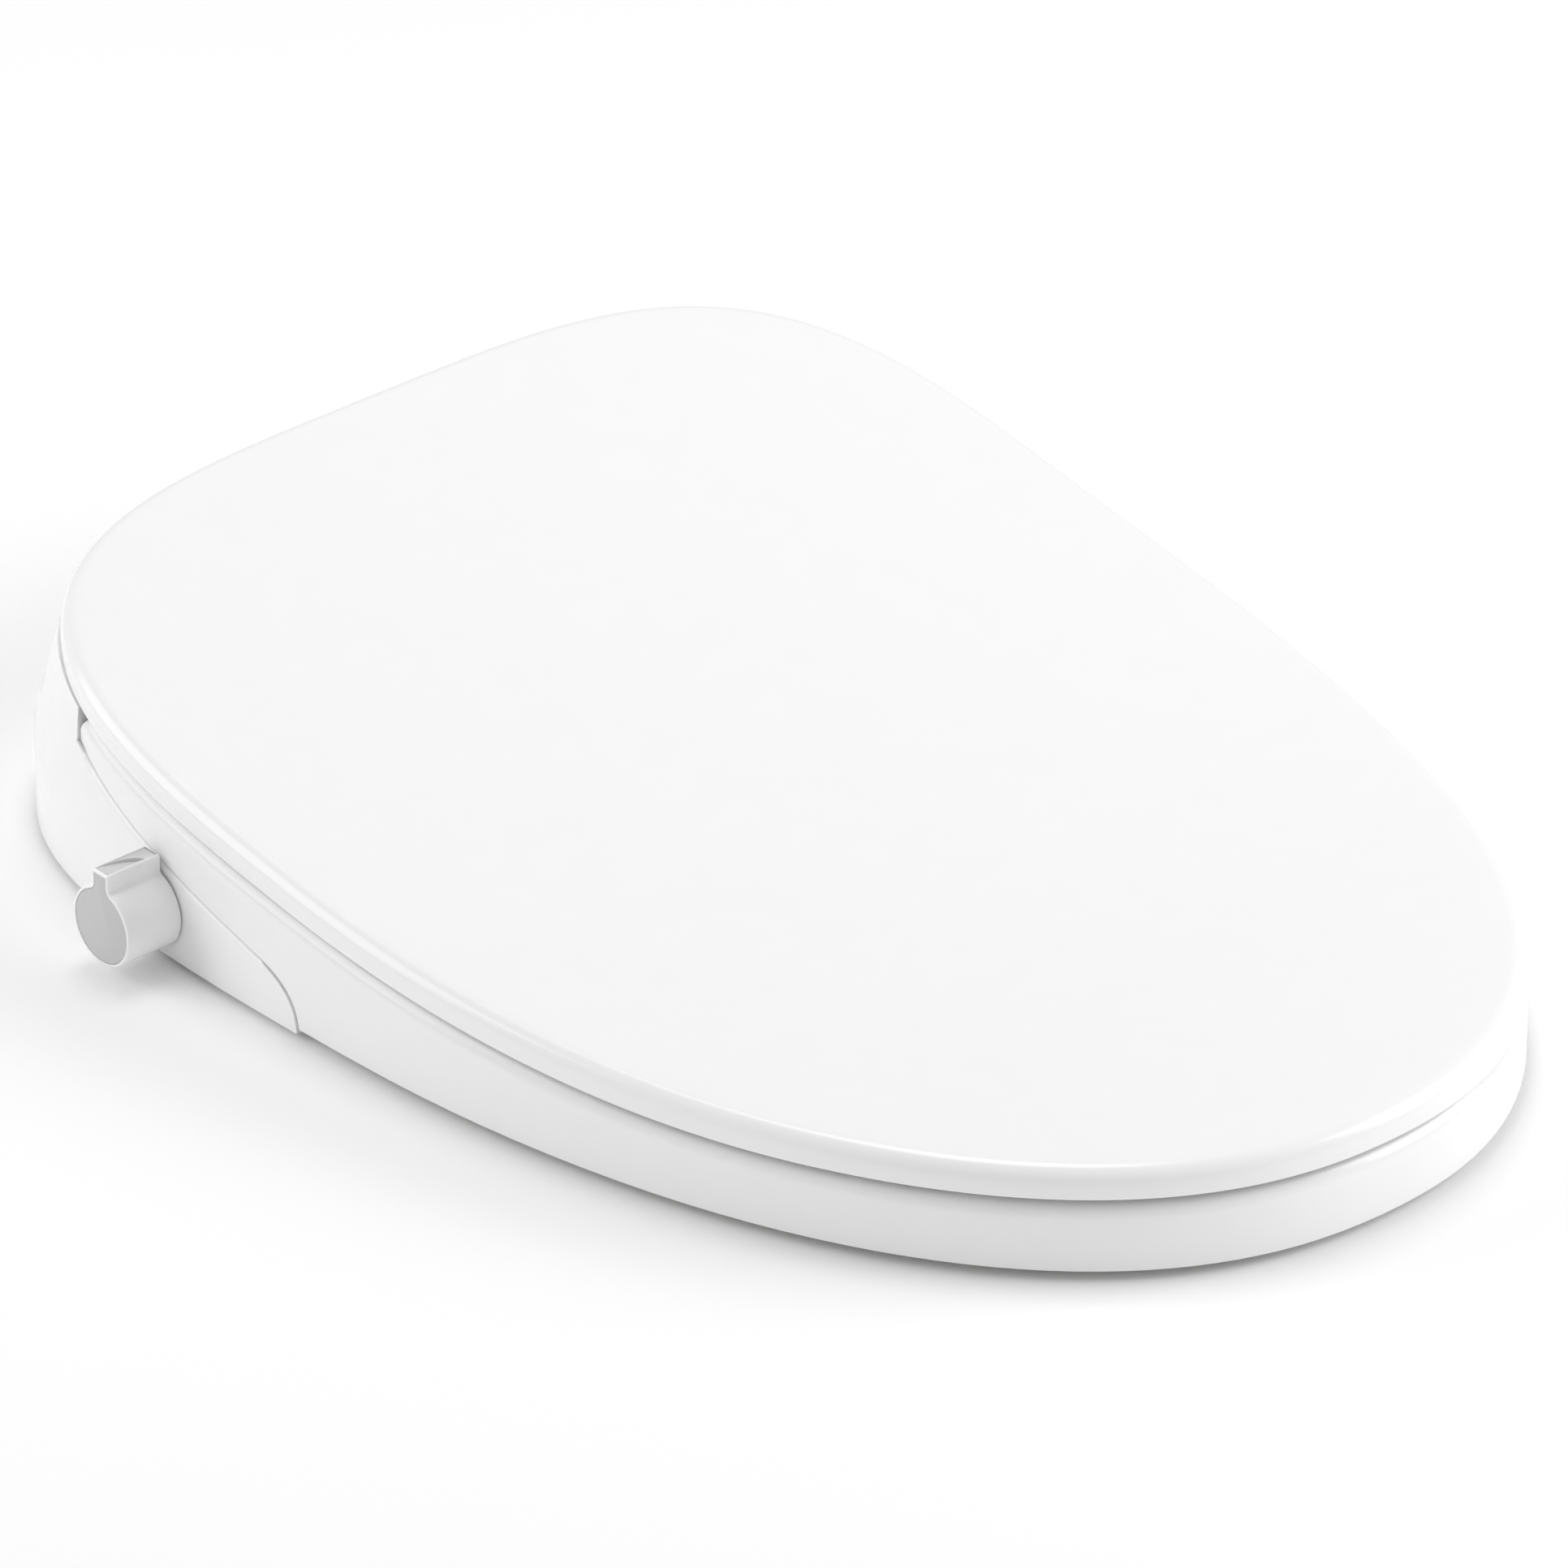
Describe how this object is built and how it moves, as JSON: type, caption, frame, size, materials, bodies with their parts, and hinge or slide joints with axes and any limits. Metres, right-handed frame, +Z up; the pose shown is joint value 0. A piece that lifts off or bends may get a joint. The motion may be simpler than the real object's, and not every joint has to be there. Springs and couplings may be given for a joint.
{
  "type": "electric bidet seat",
  "caption": "White elongated toilet seat with washing nozzles: slow-closing lid and heated ring hinged on a rear housing with side wings, and a rotary dial on one wing.",
  "frame": {"origin": "midway between the two bolt slots of the mounting plate, on the plane that the seat stands on", "axes": "+Z up, the nose of the seat towards -Y, the dial on the -X side (user's right when seated)"},
  "size_m": [0.3996, 0.5355, 0.0975],
  "materials": {
    "white_gloss": "glossy moulded white plastic",
    "white_satin": "satin white polypropylene, inner shells",
    "grey_satin": "satin silver-grey face",
    "grey_plastic": "moulded grey acetal",
    "white_rubber": "soft pale rubber",
    "black_rubber": "black rubber",
    "steel": "stainless steel",
    "brass": "machined brass",
    "board_green": "solder-masked laminate",
    "heating_foil": "aluminium foil with heating wire",
    "hose_clear": "milky silicone tube"
  },
  "bodies": {
    "base": {"base_feet": "black_rubber", "base_tray": "white_satin", "board_cover": "white_satin", "board_parts": "black_rubber", "control_board": "board_green", "cover_screws": "steel", "diverter_valve": "grey_plastic", "feed_hose": "hose_clear", "heater_tank": "white_satin", "hinge_dampers": "grey_plastic", "hinge_pins": "steel", "inlet_connector": "brass", "inlet_filter": "steel", "mounting_plate": "grey_plastic", "nozzle_cradle": "white_satin", "nozzle_hose": "hose_clear", "power_gland": "black_rubber", "power_supply": "grey_plastic", "rear_cover": "white_gloss", "release_spring": "steel", "solenoid_coil": "black_rubber", "solenoid_valve": "grey_plastic", "stepper_motors": "steel", "tank_lid": "white_satin", "tank_sensors": "steel", "valve_hose": "hose_clear"},
    "lid": {"lid_shell": "white_gloss", "lid_liner": "white_gloss", "lid_hinge_ears": "white_gloss", "lid_bumpers": "white_rubber"},
    "seat": {"seat_top": "white_gloss", "seat_hinge_arms": "white_gloss", "seat_lower": "white_satin", "seat_heating_mat": "heating_foil", "seat_sensor": "black_rubber", "seat_bumpers": "white_rubber"},
    "dial": {"dial_knob": "white_gloss", "dial_cap": "grey_satin", "dial_spindle": "grey_plastic", "dial_seal": "black_rubber"},
    "release": {"release_button": "white_gloss", "release_latch": "grey_plastic"},
    "nozzle_left": {"nozzle_tube_left": "steel", "nozzle_tip_left": "white_gloss", "nozzle_rack_left": "grey_plastic"},
    "nozzle_right": {"nozzle_tube_right": "steel", "nozzle_tip_right": "white_gloss", "nozzle_rack_right": "grey_plastic"},
    "drive_left": {"pinion_left": "grey_plastic"},
    "drive_right": {"pinion_right": "grey_plastic"}
  },
  "joints": [
    {"name": "seat_hinge", "type": "hinge", "parent": "base", "child": "seat", "pos_m": [0, 0.02, 0.08], "axis": [1, 0, 0], "range_deg": [-100, 0]},
    {"name": "lid_hinge", "type": "hinge", "parent": "seat", "child": "lid", "pos_m": [0, 0.02, 0.08], "axis": [-1, 0, 0], "range_deg": [0, 104]},
    {"name": "dial_turn", "type": "hinge", "parent": "base", "child": "dial", "pos_m": [-0.2, -0.079, 0.0195], "axis": [-1, 0, 0], "range_deg": [-90, 90]},
    {"name": "release_press", "type": "slide", "parent": "base", "child": "release", "axis": [-1, 0, 0], "range_m": [0, 0.004], "stiffness_N_per_m": 800, "deforming": ["release_spring"]},
    {"name": "nozzle_left_slide", "type": "slide", "parent": "base", "child": "nozzle_left", "axis": [0, -0.9397, -0.342], "range_m": [0, 0.06]},
    {"name": "pinion_left_spin", "type": "hinge", "parent": "base", "child": "drive_left", "pos_m": [0.011, -0.04773, 0.01638], "axis": [1, 0, 0], "range_deg": [-5, 580]},
    {"name": "nozzle_right_slide", "type": "slide", "parent": "base", "child": "nozzle_right", "axis": [0, -0.9397, -0.342], "range_m": [0, 0.06]},
    {"name": "pinion_right_spin", "type": "hinge", "parent": "base", "child": "drive_right", "pos_m": [-0.011, -0.04773, 0.01638], "axis": [1, 0, 0], "range_deg": [-5, 580]}
  ],
  "couplings": [
    {"joint": "pinion_left_spin", "follows": "nozzle_left_slide", "rad_per_m": 166.67},
    {"joint": "pinion_right_spin", "follows": "nozzle_right_slide", "rad_per_m": 166.67}
  ]
}
